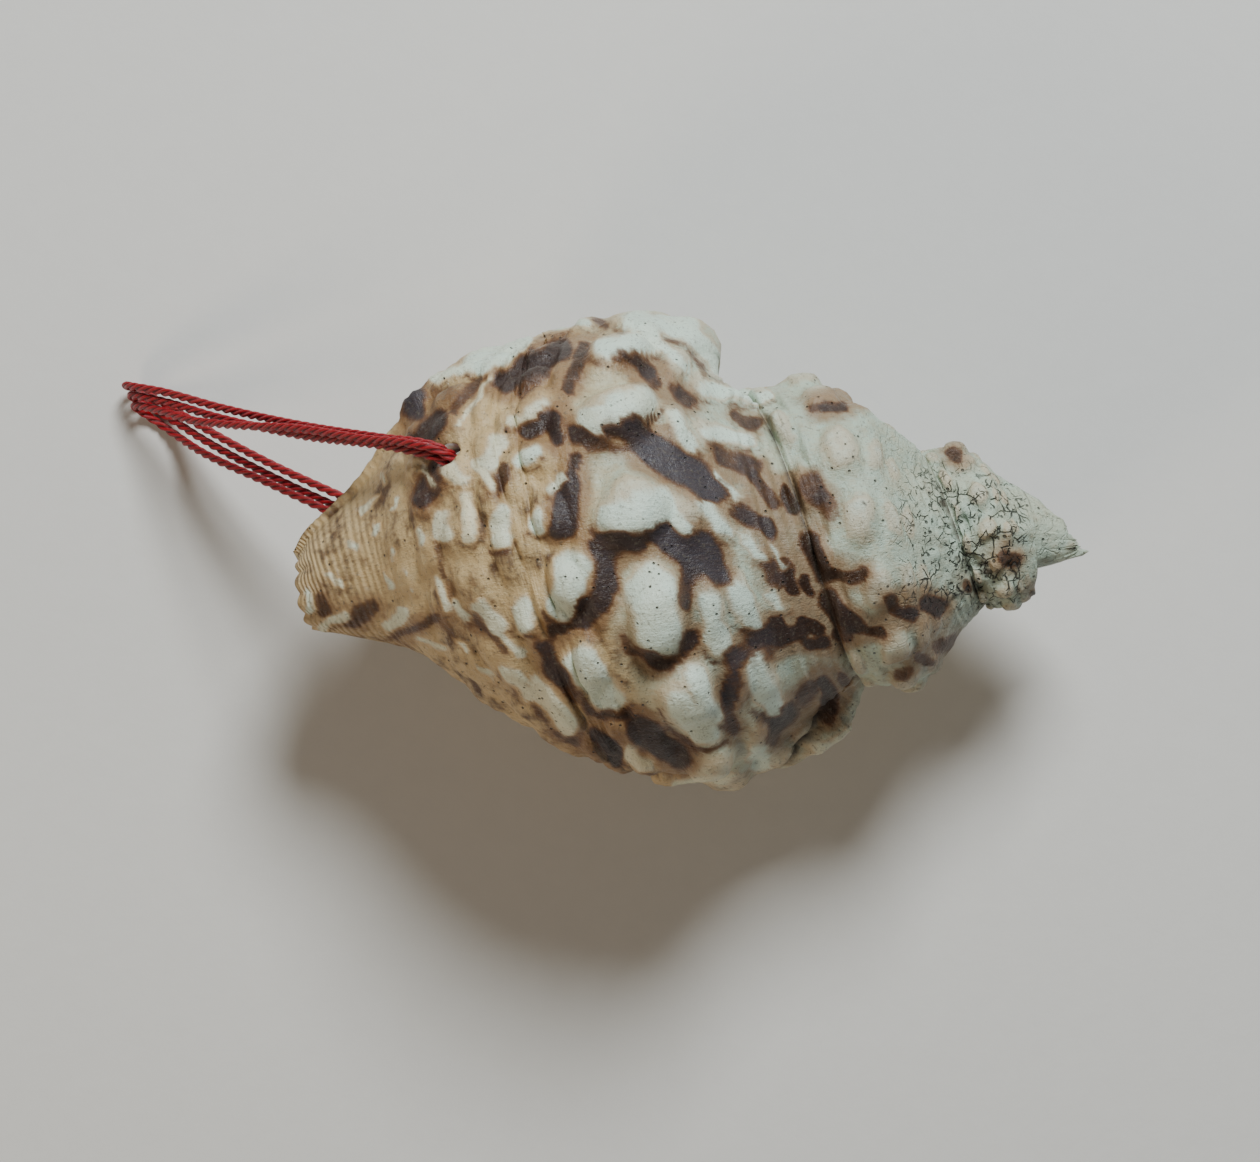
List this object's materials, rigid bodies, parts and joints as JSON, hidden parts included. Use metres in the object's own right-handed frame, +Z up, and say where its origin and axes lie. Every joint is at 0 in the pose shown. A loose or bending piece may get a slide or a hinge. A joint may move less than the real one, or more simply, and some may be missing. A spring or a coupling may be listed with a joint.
{
  "type": "triton shell whistle",
  "caption": "Knobbed spiral sea shell with a flared lip and short canal, lying on its opening, with a thin cord looped through a hole.",
  "frame": {"origin": "bottom centre of the shell's box, on the surface that it lies on", "axes": "+X towards the spire, along the shell; +Y towards the outer lip; +Z up, out of the back"},
  "size_m": [0.119, 0.058, 0.0523],
  "materials": {
    "shell": "worn shell, chalky white on the knobs, brown between them, satin by the canal",
    "red_cord": "three-ply twisted cord, slightly waxy"
  },
  "bodies": {
    "root": {"shell": "shell", "cord": "red_cord", "knot": "red_cord"}
  },
  "joints": []
}
